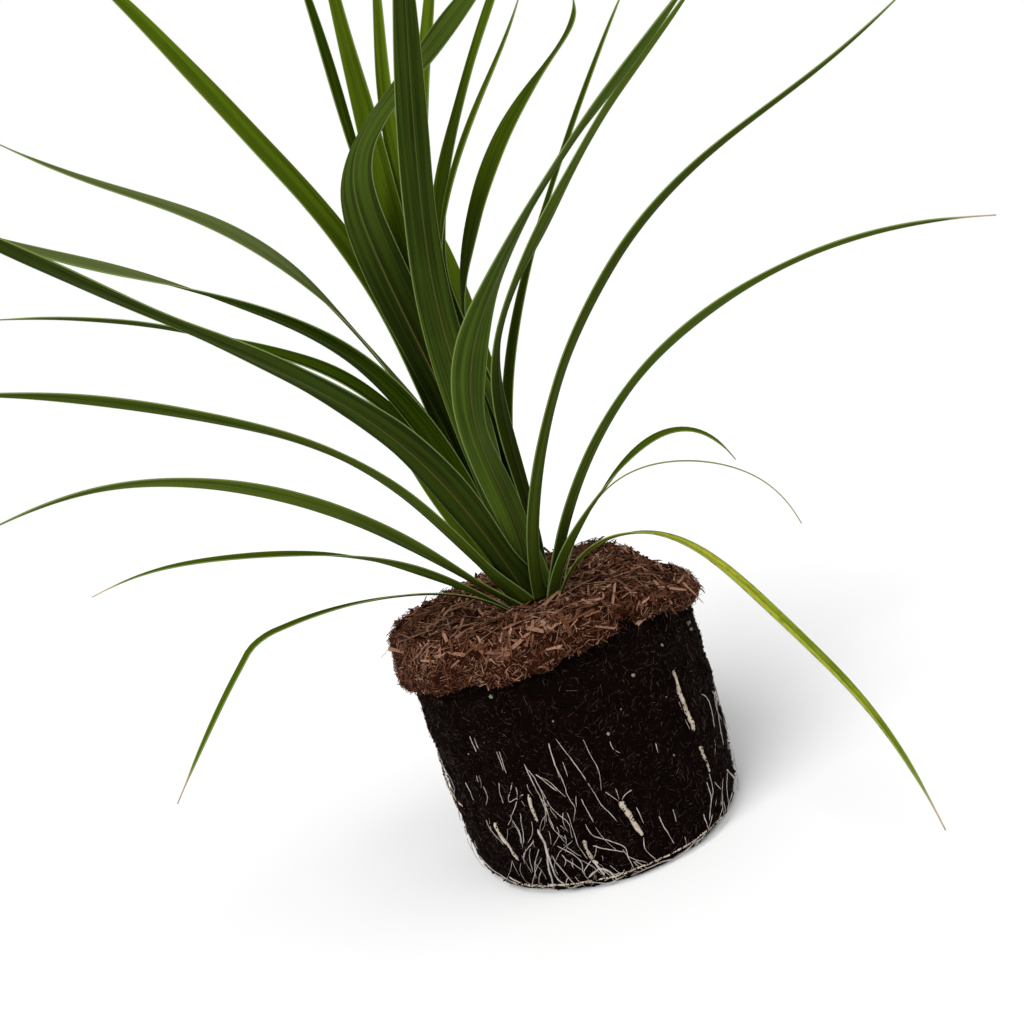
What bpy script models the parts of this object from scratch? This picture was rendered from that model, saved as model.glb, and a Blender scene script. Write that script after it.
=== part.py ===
"""Cordyline plant with a bare root ball. Metres, +Z up, origin at the middle of the ball's flat underside."""

from collections import namedtuple
from math import cos, radians, sin

import bmesh
import bpy
from mathutils import Vector

# Root ball: peat that kept the inside shape of a 14 cm nursery pot.
SOIL_TOP_Z = 0.084
SOIL_TOP_R = 0.061
SOIL_BOTTOM_R = 0.055
SOIL_PROFILE = (
    (SOIL_BOTTOM_R, 0.0),
    (0.0572, 0.0030),
    (0.0585, 0.0090),
    (0.0595, 0.0180),
    (0.0600, 0.0340),
    (SOIL_TOP_R, SOIL_TOP_Z),
)
ROUND_STEPS = 48
MERGE_DISTANCE = 0.00001

# Pieces that touch on the real plant keep this gap, so that no two solids overlap.
GAP = 0.0003

# Mulch: a thick ring of bark that overhangs the peat and dips towards the crown.
MULCH_PROFILE = (
    (0.0150, SOIL_TOP_Z + GAP),
    (0.0642, SOIL_TOP_Z + GAP),
    (0.0660, 0.0880),
    (0.0664, 0.0960),
    (0.0655, 0.1035),
    (0.0620, 0.1072),
    (0.0540, 0.1080),
    (0.0400, 0.1068),
    (0.0260, 0.1030),
    (0.0165, 0.0985),
)

# Crown: leaf bases sit in rings round the stem, each ring further out and lower than the one inside it.
RING_0_R = 0.0035
RING_0_Z = 0.1190
RING_STEP_R = 0.0008
RING_DROP = 0.0020
LAST_RING = 11

# Stem: a cone inside the rings, with a rounded top and a short straight collar under the last ring.
STEM_TOP_RISE = 0.0010
STEM_TOP_BEVEL = 0.0006
STEM_COLLAR = 0.0040
STEM_FOOT_R = 0.0085

# Blades.
BLADE_THICKNESS = 0.0005
BLADE_ROWS = 24
STEPS_PER_ROW = 5
COLUMNS = 2
CLASPING_COLUMNS = 4
CLASPING_DEG = 24.0
BASE_WIDTH_SHARE = 0.75
BASE_WRAP_MOST = 1.6
SHOULDER = 0.30
TAPER_POWER = 2.2
TIP_WIDTH = 0.0008
CLASP_LENGTH_SHARE = 0.12
CUP_DEG = 12.0
BREAK_LENGTH_SHARE = 0.024

# One leaf: its node, its ring (0 is the innermost), length and greatest width in mm, then directions in degrees
# at evenly spaced stations from base to tip: azimuth (0 is +X, 90 is +Y), rise above the horizontal, and twist.
Leaf = namedtuple("Leaf", "name ring length width azimuths rises twists")
LEAVES = (
    Leaf("leaf_top_2", 0, 304, 12.4, (145, 124, 65, 84), (89, 84, 78, 84, 68), (0, -83, -74, 7, -7, 5)),
    Leaf("leaf_top_3", 1, 305, 9.7, (123, 93, 67, 57), (87, 86, 80, 65, 73), (0, -49, -36, -8, 11, 7)),
    Leaf("leaf_front_tall", 2, 285, 16.6, (245, 305, 332, 332), (73, 93, 77, 74, 75),
         (0, -12, -18, -44, -5)),
    Leaf("leaf_top_4", 2, 313, 10.5, (106, 71, 42, 52), (86, 84, 74, 63, 62), (0, -32, -30, 22, 50)),
    Leaf("leaf_top_1", 3, 283, 9.2, (136, 164, 151, 111), (82, 85, 86, 92, 84), (0, 32, -2, -27)),
    Leaf("leaf_top_5", 3, 310, 12.8, (40, 117, 57, 5, 20), (88, 82, 63, 60, 55, 52),
         (0, -58, -41, 9, 34, 83)),
    Leaf("leaf_wavy_left", 4, 300, 19.0, (164, 211, 242, 169, 162), (83, 89, 77, 80, 139, 151, 149),
         (0, 23, 17, 9, 15, 43, 82, 42)),
    Leaf("leaf_top_6", 4, 254, 6.4, (-25, -4, 2, -2, 32), (89, 89, 99, 64, 49, 55), (0, -37, 1, 40, 12)),
    Leaf("leaf_left_1", 5, 364, 12.6, (159, 158, 164, 156), (76, 85, 65, 62, 52), (0, -16, -38, -39)),
    Leaf("leaf_wavy_right", 6, 261, 13.9, (272, 261, 322, 340, 362), (74, 56, 54, 41, 34, 39),
         (0, 33, 47, -12, 3, 7, -19, -26)),
    Leaf("leaf_top_7", 5, 320, 12.6, (87, 77, 38, 25, 80), (80, 85, 61, 50, 35, 44),
         (0, 12, -51, 0, 33, 0, 3)),
    Leaf("leaf_right_2", 5, 299, 11.0, (311, 313, 369, 380, 380), (81, 88, 51, 43, 35, 43),
         (0, 1, 13, -28, -28, -33, -20)),
    Leaf("leaf_left_3", 6, 281, 10.3, (209, 225, 183, 214), (83, 68, 41, 30, 33),
         (0, 18, 12, 12, -49, -24)),
    Leaf("leaf_left_2", 6, 329, 9.5, (134, 141, 173, 172), (79, 65, 57, 35, 42), (0, 1, 31, -40, -43, -33)),
    Leaf("leaf_right_3", 7, 295, 6.4, (92, 25, 11, 21), (65, 68, 57, 53, 48), (0, 24, 32, 16, 38, 37)),
    Leaf("leaf_left_4", 7, 265, 15.4, (243, 231, 215, 220), (64, 55, 39, 37, 40), (0, 13, 2, 2, 49)),
    Leaf("leaf_left_5", 7, 269, 10.2, (145, 173, 186, 181), (70, 72, 38, 25, 13), (0, -12, -29, 10, 14)),
    Leaf("leaf_left_6", 8, 242, 8.4, (221, 209, 200, 200), (59, 56, 34, 24, 13), (0, 8, 6, 21, 39, 11)),
    Leaf("leaf_right_4", 8, 287, 6.6, (274, 351, 356, 341), (58, 61, 41, 19, 28), (0, -20, -34, -23, -26)),
    Leaf("leaf_right_5", 9, 245, 7.7, (301, 353, 352, 349), (59, 51, 25, 4, -15), (0, -22, -28, -21, -30)),
    Leaf("leaf_left_7", 9, 220, 8.6, (205, 218, 228, 212), (50, 45, 30, 13, -12), (0, 16, 20, 19, 17)),
    Leaf("leaf_back_1", 8, 285, 11.0, (78, 88, 94, 96), (64, 70, 54, 30, 10), (0, 4, 8, 4)),
    Leaf("leaf_back_2", 9, 270, 10.0, (100, 92, 86, 82), (58, 53, 34, 6, -13), (0, -4, -10, -4)),
    Leaf("leaf_back_3", 10, 235, 9.5, (134, 110, 100, 96), (56, 50, 30, 12, -4), (0, 4, 8, 10)),
    Leaf("leaf_right_6", 10, 136, 6.8, (294, 357, 391, 380), (57, 46, 29, -10, -65), (0, -25, -5, 29, 74)),
    Leaf("leaf_left_8", 10, 181, 6.6, (201, 189, 180, 171), (47, 37, 19, 8, -11), (0, 35, -9, -15, -11)),
    Leaf("leaf_right_7", 10, 148, 2.1, (32, 4, -6, -9), (58, 41, -4, -36, -76), (0, 13, 8)),
    Leaf("leaf_right_8", 11, 211, 5.7, (298, 313, 301, 286), (49, 14, -42, -45, -68),
         (0, -12, -11, -4, -4, 4)),
    Leaf("leaf_left_9", 11, 177, 5.6, (223, 200, 206, 207), (48, 21, 3, -11, -16), (0, 11, -7, -18, -41)),
)
# The broken blade: where along it the break is, and how many degrees it drops there.
BREAKS = {"leaf_left_9": (0.65, -32)}
# A blade folded along its midrib has its edges turned up further than the others.
FOLDS = {"leaf_right_3": 50.0}

# Blades that differ in colour.
LEAF_MATERIALS = {"leaf_right_8": "leaf_yellow", "leaf_right_7": "leaf_dry"}

# Thick roots outside the peat: node, root radius in mm, then (azimuth in degrees, height in mm) along it.
ROOTS = (
    ("root_right_upper", 1.1, ((311, 71), (311, 62), (312, 53), (313, 44))),
    ("root_right_lower", 0.8, ((314, 37), (315, 31), (316, 25))),
    ("root_front_thick", 1.2, ((276, 33), (278, 25), (280, 17))),
    ("root_front_left", 0.9, ((226, 32), (228, 24), (232, 16))),
    ("root_front_middle", 0.7, ((245, 44), (245, 38), (245, 33))),
    ("root_front_low", 0.8, ((260, 22), (260, 17), (262, 11))),
    ("root_left_strand", 0.7, ((201, 59), (196, 50), (195, 43), (201, 38), (208, 34))),
)
ROOT_STEPS_PER_SPAN = 3
BASE_LOOP_RADIUS = 0.0011
BASE_LOOP_Z = 0.0045
BASE_LOOP_ARC = (218, 322)
BASE_LOOP_POINTS = 24

MATERIALS = {
    "peat": ((0.020, 0.014, 0.012), 0.95),
    "mulch": ((0.150, 0.060, 0.035), 0.90),
    "leaf": ((0.045, 0.110, 0.018), 0.45),
    "leaf_yellow": ((0.260, 0.300, 0.050), 0.50),
    "leaf_dry": ((0.420, 0.330, 0.200), 0.70),
    "stem": ((0.200, 0.230, 0.090), 0.60),
    "root": ((0.720, 0.620, 0.420), 0.70),
}


def clear_scene():
    for obj in list(bpy.data.objects):
        bpy.data.objects.remove(obj, do_unlink=True)


def make_material(name):
    colour, roughness = MATERIALS[name]
    material = bpy.data.materials.new(name)
    material.use_nodes = True
    shader = material.node_tree.nodes["Principled BSDF"]
    shader.inputs["Base Color"].default_value = (*colour, 1.0)
    shader.inputs["Roughness"].default_value = roughness
    shader.inputs["Metallic"].default_value = 0.0
    return material


def add_object(name, data, material, collection):
    obj = bpy.data.objects.new(name, data)
    obj.data.materials.append(material)
    collection.objects.link(obj)
    return obj


def smooth_step(x):
    x = min(max(x, 0.0), 1.0)
    return x * x * (3.0 - 2.0 * x)


def along(values, s):
    """The value at share s of a smooth curve through evenly spaced stations."""
    if len(values) == 1:
        return values[0]
    spot = s * (len(values) - 1)
    i = min(int(spot), len(values) - 2)
    t = spot - i
    a = values[max(i - 1, 0)]
    b = values[i]
    c = values[i + 1]
    d = values[min(i + 2, len(values) - 1)]
    slope = c - a
    square = 2 * a - 5 * b + 4 * c - d
    cube = 3 * b - a - 3 * c + d
    return b + 0.5 * (slope * t + square * t * t + cube * t ** 3)


def turned(name, profile, material, collection):
    """A solid turned about Z from (radius, height) points: a closed outline, or one that ends on the axis."""
    mesh = bpy.data.meshes.new(name)
    bm = bmesh.new()
    points = [bm.verts.new((radius, 0.0, height)) for radius, height in profile]
    for first, second in zip(points, points[1:]):
        bm.edges.new((first, second))
    bm.to_mesh(mesh)
    bm.free()
    obj = add_object(name, mesh, material, collection)
    screw = obj.modifiers.new("Turn", "SCREW")
    screw.axis = "Z"
    screw.steps = ROUND_STEPS
    screw.render_steps = ROUND_STEPS
    screw.use_merge_vertices = True
    screw.merge_threshold = MERGE_DISTANCE
    return obj


def make_root_ball(collection, materials):
    profile = [(0.0, SOIL_TOP_Z)] + list(reversed(SOIL_PROFILE)) + [(0.0, 0.0)]
    return turned("root_ball", profile, materials["peat"], collection)


def make_mulch(collection, materials):
    outline = list(reversed(MULCH_PROFILE))
    return turned("mulch_layer", outline + outline[:1], materials["mulch"], collection)


def ring_radius(ring):
    return RING_0_R + RING_STEP_R * ring


def ring_height(ring):
    return RING_0_Z - RING_DROP * ring


def make_stem(collection, materials):
    """A cone that stays one gap inside the leaf bases of every ring."""
    inset = BLADE_THICKNESS / 2 + GAP
    top_r = ring_radius(0) - inset
    collar_r = ring_radius(LAST_RING) - inset
    collar_z = ring_height(LAST_RING)
    profile = (
        (0.0, RING_0_Z + STEM_TOP_RISE),
        (top_r - STEM_TOP_BEVEL, RING_0_Z + STEM_TOP_RISE),
        (top_r, RING_0_Z),
        (collar_r, collar_z),
        (collar_r, collar_z - STEM_COLLAR),
        (STEM_FOOT_R, SOIL_TOP_Z + GAP),
        (0.0, SOIL_TOP_Z + GAP),
    )
    return turned("stem", profile, materials["stem"], collection)


def direction(azimuth, rise):
    a = radians(azimuth)
    r = radians(rise)
    return Vector((cos(r) * cos(a), cos(r) * sin(a), sin(r)))


def blade_width(leaf, s):
    """The blade's whole width at share s of its length."""
    most = leaf.width / 1000
    base = min(BASE_WIDTH_SHARE * most, BASE_WRAP_MOST * ring_radius(leaf.ring))
    rising = base + (most - base) * smooth_step(s / SHOULDER)
    taper = max(s - SHOULDER, 0.0) / (1 - SHOULDER)
    return max(rising * (1 - taper ** TAPER_POWER), TIP_WIDTH)


def blade_sections(leaf):
    """At each row of a blade: midline point, direction across, upper normal, half width and edge angle."""
    seat = radians(leaf.azimuths[0])
    radius = ring_radius(leaf.ring)
    point = Vector((radius * cos(seat), radius * sin(seat), ring_height(leaf.ring)))
    break_at, drop = BREAKS.get(leaf.name, (1.0, 0.0))
    cup = radians(FOLDS.get(leaf.name, CUP_DEG))
    step = leaf.length / 1000 / (BLADE_ROWS * STEPS_PER_ROW)
    sections = []
    for row in range(BLADE_ROWS + 1):
        s = row / BLADE_ROWS
        azimuth = along(leaf.azimuths, s)
        rise = along(leaf.rises, s) + drop * smooth_step((s - break_at) / BREAK_LENGTH_SHARE + 0.5)
        twist = radians(along(leaf.twists, s))
        tangent = direction(azimuth, rise)
        level = Vector((-sin(radians(azimuth)), cos(radians(azimuth)), 0.0))
        upper = tangent.cross(level)
        across = level * cos(twist) + upper * sin(twist)
        half = blade_width(leaf, s) / 2
        clasp = half / radius
        edge_angle = clasp + (cup - clasp) * smooth_step(s / CLASP_LENGTH_SHARE)
        sections.append((point.copy(), across, tangent.cross(across), half, edge_angle))
        for k in range(STEPS_PER_ROW):
            t = (row + (k + 0.5) / STEPS_PER_ROW) / BLADE_ROWS
            if t < 1:
                bend = drop * smooth_step((t - break_at) / BREAK_LENGTH_SHARE + 0.5)
                point += direction(along(leaf.azimuths, t), along(leaf.rises, t) + bend) * step
    return sections


def make_leaf(leaf, collection, materials):
    """A grid moved onto the blade's curved sections, then given its thickness."""
    sections = blade_sections(leaf)
    base_edge_angle = sections[0][4]
    columns = CLASPING_COLUMNS if base_edge_angle > radians(CLASPING_DEG) else COLUMNS
    mesh = bpy.data.meshes.new(leaf.name)
    bm = bmesh.new()
    bmesh.ops.create_grid(bm, x_segments=columns, y_segments=BLADE_ROWS, size=1.0)
    for vert in bm.verts:
        row = round((vert.co.y + 1) / 2 * BLADE_ROWS)
        point, across, upper, half, edge_angle = sections[row]
        angle = vert.co.x * edge_angle
        radius = half / edge_angle
        vert.co = point + across * (radius * sin(angle)) + upper * (radius * (1 - cos(angle)))
    bm.to_mesh(mesh)
    bm.free()
    kind = LEAF_MATERIALS.get(leaf.name, "leaf")
    obj = add_object(leaf.name, mesh, materials[kind], collection)
    solidify = obj.modifiers.new("Thickness", "SOLIDIFY")
    solidify.thickness = BLADE_THICKNESS
    solidify.offset = 0.0
    mesh.shade_smooth()
    return obj


def soil_radius(height):
    """The peat's radius at a height, along its turned outline."""
    for (low_r, low_z), (high_r, high_z) in zip(SOIL_PROFILE, SOIL_PROFILE[1:]):
        if height <= high_z:
            return low_r + (high_r - low_r) * (height - low_z) / (high_z - low_z)
    return SOIL_TOP_R


def tube(name, points, radius, material, collection):
    curve = bpy.data.curves.new(name, "CURVE")
    curve.dimensions = "3D"
    curve.bevel_depth = radius
    curve.bevel_resolution = 1
    curve.use_fill_caps = True
    spline = curve.splines.new("POLY")
    spline.points.add(len(points) - 1)
    for spot, place in zip(spline.points, points):
        spot.co = (*place, 1.0)
    return add_object(name, curve, material, collection)


def make_roots(collection, materials):
    for name, radius_mm, spots in ROOTS:
        radius = radius_mm / 1000
        points = []
        steps = ROOT_STEPS_PER_SPAN * (len(spots) - 1)
        for i in range(steps + 1):
            azimuth = radians(along([spot[0] for spot in spots], i / steps))
            height = along([spot[1] for spot in spots], i / steps) / 1000
            out = soil_radius(height) + radius + GAP
            points.append((out * cos(azimuth), out * sin(azimuth), height))
        tube(name, points, radius, materials["root"], collection)
    start, end = BASE_LOOP_ARC
    loop = []
    for i in range(BASE_LOOP_POINTS):
        azimuth = radians(start + (end - start) * i / (BASE_LOOP_POINTS - 1))
        out = soil_radius(BASE_LOOP_Z) + BASE_LOOP_RADIUS + 2 * GAP
        loop.append((out * cos(azimuth), out * sin(azimuth), BASE_LOOP_Z))
    tube("root_base_loop", loop, BASE_LOOP_RADIUS, materials["root"], collection)


def main():
    clear_scene()
    collection = bpy.data.collections.new("cordyline_plant")
    bpy.context.scene.collection.children.link(collection)
    materials = {name: make_material(name) for name in MATERIALS}
    make_root_ball(collection, materials)
    make_mulch(collection, materials)
    make_stem(collection, materials)
    for leaf in LEAVES:
        make_leaf(leaf, collection, materials)
    make_roots(collection, materials)


main()
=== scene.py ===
"""Looks of a cordyline plant with a bare root ball: blades, bark mulch, peat, roots and a plain studio."""

import random
from collections import namedtuple
from itertools import combinations
from math import atan2, cos, degrees, exp, pi, radians, sin

import bmesh
import bpy
from bpy.props import FloatProperty, FloatVectorProperty, IntProperty, PointerProperty
from mathutils import Matrix, Vector, noise


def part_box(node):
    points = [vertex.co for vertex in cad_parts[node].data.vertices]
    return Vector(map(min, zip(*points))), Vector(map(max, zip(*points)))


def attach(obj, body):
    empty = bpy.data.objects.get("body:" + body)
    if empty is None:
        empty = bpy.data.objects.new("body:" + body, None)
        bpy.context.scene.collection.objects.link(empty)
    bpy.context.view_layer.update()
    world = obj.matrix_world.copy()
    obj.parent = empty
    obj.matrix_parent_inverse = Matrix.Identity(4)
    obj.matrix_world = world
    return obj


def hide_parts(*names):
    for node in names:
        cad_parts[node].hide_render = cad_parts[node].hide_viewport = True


bl_info = {
    "name": "Cordyline Root Ball",
    "version": (1, 0, 0),
    "blender": (4, 5, 0),
    "location": "3D View > Sidebar > Cordyline",
    "description": "Grows a cordyline plant with bark mulch and a bare root ball round its packed frame",
    "category": "Add Mesh",
}

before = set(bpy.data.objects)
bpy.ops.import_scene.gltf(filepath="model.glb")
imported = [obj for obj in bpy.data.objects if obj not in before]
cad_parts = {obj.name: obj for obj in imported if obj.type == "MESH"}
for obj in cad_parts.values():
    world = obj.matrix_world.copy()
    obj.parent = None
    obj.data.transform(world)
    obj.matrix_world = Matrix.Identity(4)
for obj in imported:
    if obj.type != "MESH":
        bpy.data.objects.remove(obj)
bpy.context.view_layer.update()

BODY = "root"
SEED = 41
MM = 0.001
UP = Vector((0.0, 0.0, 1.0))

# Heights and radii of the frame that the pieces are worked out from.
SOIL_LOW, SOIL_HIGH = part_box("root_ball")
MULCH_LOW, MULCH_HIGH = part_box("mulch_layer")
SOIL_RADIUS = SOIL_HIGH.x
MULCH_RADIUS = MULCH_HIGH.x
CROWN = Vector((0.0, 0.0, MULCH_HIGH.z))
CROWN_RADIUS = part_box("stem")[1].x

# Reading the frame's own meshes.
MERGE_DISTANCE = 0.01 * MM
TIP_REACH = 1.2 * MM
ROOT_SIDES = 6


def merged_copy(node):
    """A copy of a frame node with its loose triangles joined."""
    bm = bmesh.new()
    bm.from_mesh(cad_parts[node].data)
    bmesh.ops.remove_doubles(bm, verts=bm.verts[:], dist=MERGE_DISTANCE)
    return bm


def smooth_step(low, high, value):
    t = min(max((value - low) / (high - low), 0.0), 1.0)
    return t * t * (3.0 - 2.0 * t)


def along(stations, share):
    """The point or number at a share of a smooth curve through evenly spaced stations."""
    spot = share * (len(stations) - 1)
    i = min(int(spot), len(stations) - 2)
    t = spot - i
    a = stations[max(i - 1, 0)]
    b = stations[i]
    c = stations[i + 1]
    d = stations[min(i + 2, len(stations) - 1)]
    slope = c - a
    square = 2 * a - 5 * b + 4 * c - d
    cube = 3 * b - a - 3 * c + d
    return b + 0.5 * (slope * t + square * t * t + cube * t ** 3)


def around(stations, azimuth_deg):
    """The value at an azimuth between (azimuth, value) stations that go once round from 0 degrees."""
    turned = azimuth_deg % 360
    lap = stations + ((360, stations[0][1]),)
    for (start, first), (end, second) in zip(lap, lap[1:]):
        if turned <= end:
            return first + (second - first) * smooth_step(start, end, turned)


def azimuth_between(first, second):
    """The turn about the plant's axis from one point to another, in radians."""
    return -first.to_2d().angle_signed(second.to_2d(), 0.0)


def ball_point(azimuth_deg, radius, height):
    a = radians(azimuth_deg)
    return Vector((radius * cos(a), radius * sin(a), height))


# ---------------------------------------------------------------- settings


def colour_property(name, description, default):
    return FloatVectorProperty(
        name=name, description=description, default=default, size=3, min=0.0, max=1.0, subtype="COLOR"
    )


def length_property(name, description, default_mm):
    return FloatProperty(name=name, description=description, default=default_mm * MM, min=0.0, unit="LENGTH")


def count_property(name, description, default):
    return IntProperty(name=name, description=description, default=default, min=0)


def number_property(name, description, default):
    return FloatProperty(name=name, description=description, default=default, min=0.0)


def angle_property(name, description, default_deg):
    return FloatProperty(name=name, description=description, default=radians(default_deg), subtype="ANGLE")


class BladeSettings(bpy.types.PropertyGroup):
    thickness: length_property("Thickness", "Thickness of a blade", 0.42)
    crease: number_property("Crease", "Depth of the midrib as a share of the width", 0.055)
    ripple: length_property("Ripple", "Height of the waves along a blade's edges", 0.60)
    row_spacing: length_property("Row Spacing", "Distance between rows of faces along a blade", 3.0)
    deep: colour_property("Deep Green", "Darker bands of a broad blade", (0.010, 0.020, 0.0005))
    light: colour_property("Light Green", "Lighter bands of a broad blade", (0.037, 0.068, 0.0014))
    fresh: colour_property("Fresh Green", "Lighter bands of a young blade", (0.078, 0.124, 0.0045))
    under: colour_property("Underside", "Pale green of a turned underside", (0.105, 0.128, 0.044))
    midrib: colour_property("Midrib", "Pale line along the middle of a blade", (0.090, 0.105, 0.024))
    rust: colour_property("Rust", "Reddish flush beside the midrib near the base", (0.038, 0.020, 0.003))
    margin: colour_property("Margin", "Pale line along both edges", (0.200, 0.260, 0.080))
    yellow: colour_property("Yellow", "Blade that is turning yellow", (0.450, 0.450, 0.045))
    dry: colour_property("Dry", "Dead tip or thread", (0.420, 0.300, 0.170))


class MulchSettings(bpy.types.PropertyGroup):
    lump: length_property("Lump", "Height of the lumps in the bed", 2.2)
    chips: count_property("Chips", "Number of bark chips", 7000)
    chip_length: length_property("Chip Length", "Middle length of a bark chip", 4.0)
    strands: count_property("Strands", "Number of long dry strands on the top", 45)
    fibres: count_property("Fibres", "Number of shredded fibres", 21000)
    fibre_length: length_property("Fibre Length", "Middle length of a fibre", 2.2)
    dark: colour_property("Dark Bark", "Darkest bark", (0.020, 0.0055, 0.0025))
    middle: colour_property("Bark", "Most of the bark", (0.108, 0.041, 0.020))
    pale: colour_property("Pale Bark", "Freshly split bark", (0.330, 0.180, 0.118))


class PeatSettings(bpy.types.PropertyGroup):
    lump: length_property("Lump", "Height of the lumps on the side", 1.2)
    crumbs: count_property("Crumbs", "Number of loose crumbs", 6000)
    crumb_size: length_property("Crumb Size", "Middle width of a crumb", 0.85)
    hairs: count_property("Hairs", "Number of short plant hairs", 10500)
    dark: colour_property("Peat", "Moist peat", (0.0030, 0.0010, 0.0008))
    light: colour_property("Dry Peat", "Drier grains", (0.016, 0.007, 0.005))
    hair: colour_property("Hair", "Short plant hairs in the peat", (0.052, 0.036, 0.029))
    speck: colour_property("Speck", "Pale green grains", (0.170, 0.190, 0.120))


class RootSettings(bpy.types.PropertyGroup):
    fine_radius: length_property("Fine Radius", "Radius of a fine root", 0.19)
    scattered: count_property("Scattered", "Number of fine roots round the ball", 150)
    cream: colour_property("Cream", "Clean thick root", (0.530, 0.450, 0.355))
    grey: colour_property("Grey", "Clean fine root", (0.440, 0.400, 0.365))
    stain: colour_property("Stain", "Root stained by peat", (0.200, 0.135, 0.090))


class StageSettings(bpy.types.PropertyGroup):
    floor: colour_property("Floor", "Plain pale floor", (0.90, 0.90, 0.90))
    lens: FloatProperty(name="Lens", description="Focal length", default=35.0, min=1.0, unit="CAMERA")
    distance: length_property("Distance", "Camera to the plant's axis", 412.0)
    height: length_property("Height", "Camera above the floor", 196.0)
    pitch: angle_property("Pitch", "Tilt up or down", -7.7)
    roll: angle_property("Roll", "Turn about the view", -17.3)
    sky: number_property("Sky", "Strength of the light from all round", 0.45)
    key: number_property("Key", "Strength of the key light", 2.6)


# ---------------------------------------------------------------- node helpers

BLACK = (0.0, 0.0, 0.0, 1.0)
COLOUR = "NodeSocketColor"
NUMBER = "NodeSocketFloat"
SURFACE_OUTPUTS = (("Color", COLOUR, BLACK), ("Roughness", NUMBER, 0.5), ("Height", NUMBER, 0.0))


def put(tree, kind, inputs=None, **settings):
    """Adds a node, sets its properties, and gives each named input a value or a link."""
    node = tree.nodes.new(kind)
    for name, value in settings.items():
        setattr(node, name, value)
    for key, value in (inputs or {}).items():
        if isinstance(value, bpy.types.NodeSocket):
            tree.links.new(value, node.inputs[key])
        else:
            node.inputs[key].default_value = value
    return node


def calc(tree, operation, first, second=0.0):
    return put(tree, "ShaderNodeMath", {0: first, 1: second}, operation=operation).outputs[0]


def product(tree, first, second):
    return calc(tree, "MULTIPLY", first, second)


def mask(tree, value, start, end):
    """Rises smoothly from 0 at start to 1 at end."""
    inputs = {"Value": value, "From Min": start, "From Max": end}
    return put(tree, "ShaderNodeMapRange", inputs, interpolation_type="SMOOTHSTEP").outputs["Result"]


def fading(tree, value, start, end):
    """Falls smoothly from 1 at start to 0 at end."""
    return calc(tree, "SUBTRACT", 1.0, mask(tree, value, start, end))


def ranged(tree, value, low, high):
    """A value from 0 to 1 stretched to a range."""
    return put(tree, "ShaderNodeMapRange", {0: value, 3: low, 4: high}).outputs[0]


def mixed(tree, share, first, second):
    """Colour between first and second."""
    return put(tree, "ShaderNodeMix", {0: share, 6: first, 7: second}, data_type="RGBA").outputs[2]


def grain(tree, place, scale, detail=2.0, stretch=(1.0, 1.0, 1.0)):
    """Soft noise from 0 to 1."""
    mapped = put(tree, "ShaderNodeMapping", {"Vector": place, "Scale": stretch}).outputs[0]
    inputs = {"Vector": mapped, "Scale": scale, "Detail": detail, "Roughness": 0.6}
    return put(tree, "ShaderNodeTexNoise", inputs).outputs["Fac"]


def wave(tree, value, length):
    """Swings from 0 to 1 and back over each length."""
    swing = calc(tree, "SINE", product(tree, value, 2 * pi / length))
    return calc(tree, "ADD", product(tree, swing, 0.5), 0.5)


def own_value(tree, name):
    """A number that the mesh carries in each of its points."""
    return put(tree, "ShaderNodeAttribute", attribute_name=name).outputs["Fac"]


def new_group(name, inputs):
    """A group with named inputs, each (name, type, default), that puts out colour, roughness and height."""
    group = bpy.data.node_groups.new(name, "ShaderNodeTree")
    for direction, sockets in (("INPUT", inputs), ("OUTPUT", SURFACE_OUTPUTS)):
        for label, kind, default in sockets:
            socket = group.interface.new_socket(label, in_out=direction, socket_type=kind)
            socket.default_value = default
    return group, group.nodes.new("NodeGroupInput").outputs


def finish_group(group, colour, roughness, height):
    """Links a surface group's results and returns the group."""
    result = group.nodes.new("NodeGroupOutput")
    group.links.new(colour, result.inputs["Color"])
    group.links.new(roughness, result.inputs["Roughness"])
    group.links.new(height, result.inputs["Height"])
    return group


def rgba(colour):
    return (*colour, 1.0)


def tinted(colour, factor):
    return tuple(min(channel * factor, 1.0) for channel in colour)


def blended(first, second, share):
    """Colour between first and second."""
    return tuple(a + (b - a) * share for a, b in zip(first, second))


def bark_values(middle, dark, pale):
    return {"Middle": rgba(middle), "Dark": rgba(dark), "Pale": rgba(pale)}


def finish_material(name, group, values, bump, specular):
    """A material that takes colour, roughness and height from a group."""
    material = bpy.data.materials.new(name)
    material.use_nodes = True
    tree = material.node_tree
    shader = tree.nodes["Principled BSDF"]
    surface = put(tree, "ShaderNodeGroup", node_tree=group)
    for key, value in values.items():
        surface.inputs[key].default_value = value
    normal = put(tree, "ShaderNodeBump", {"Distance": bump, "Height": surface.outputs["Height"]})
    tree.links.new(surface.outputs["Color"], shader.inputs["Base Color"])
    tree.links.new(surface.outputs["Roughness"], shader.inputs["Roughness"])
    tree.links.new(normal.outputs[0], shader.inputs["Normal"])
    shader.inputs["Specular IOR Level"].default_value = specular
    material.diffuse_color = next(value for value in values.values() if hasattr(value, "__len__"))
    return material


# ---------------------------------------------------------------- surface groups

WIDE_RIB = 1.3 * MM
FINE_RIB = 0.6 * MM
# The pale line starts at the edge and has faded this far in.
MARGIN_EDGE = (0.20 * MM, 0.55 * MM)
# Noise across and along a blade, in swings for each metre.
BAND_STRETCH = (420.0, 5.0, 1.0)
THREAD_STRETCH = (1500.0, 14.0, 1.0)
SPECK_STRETCH = (1500.0, 320.0, 1.0)


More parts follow.
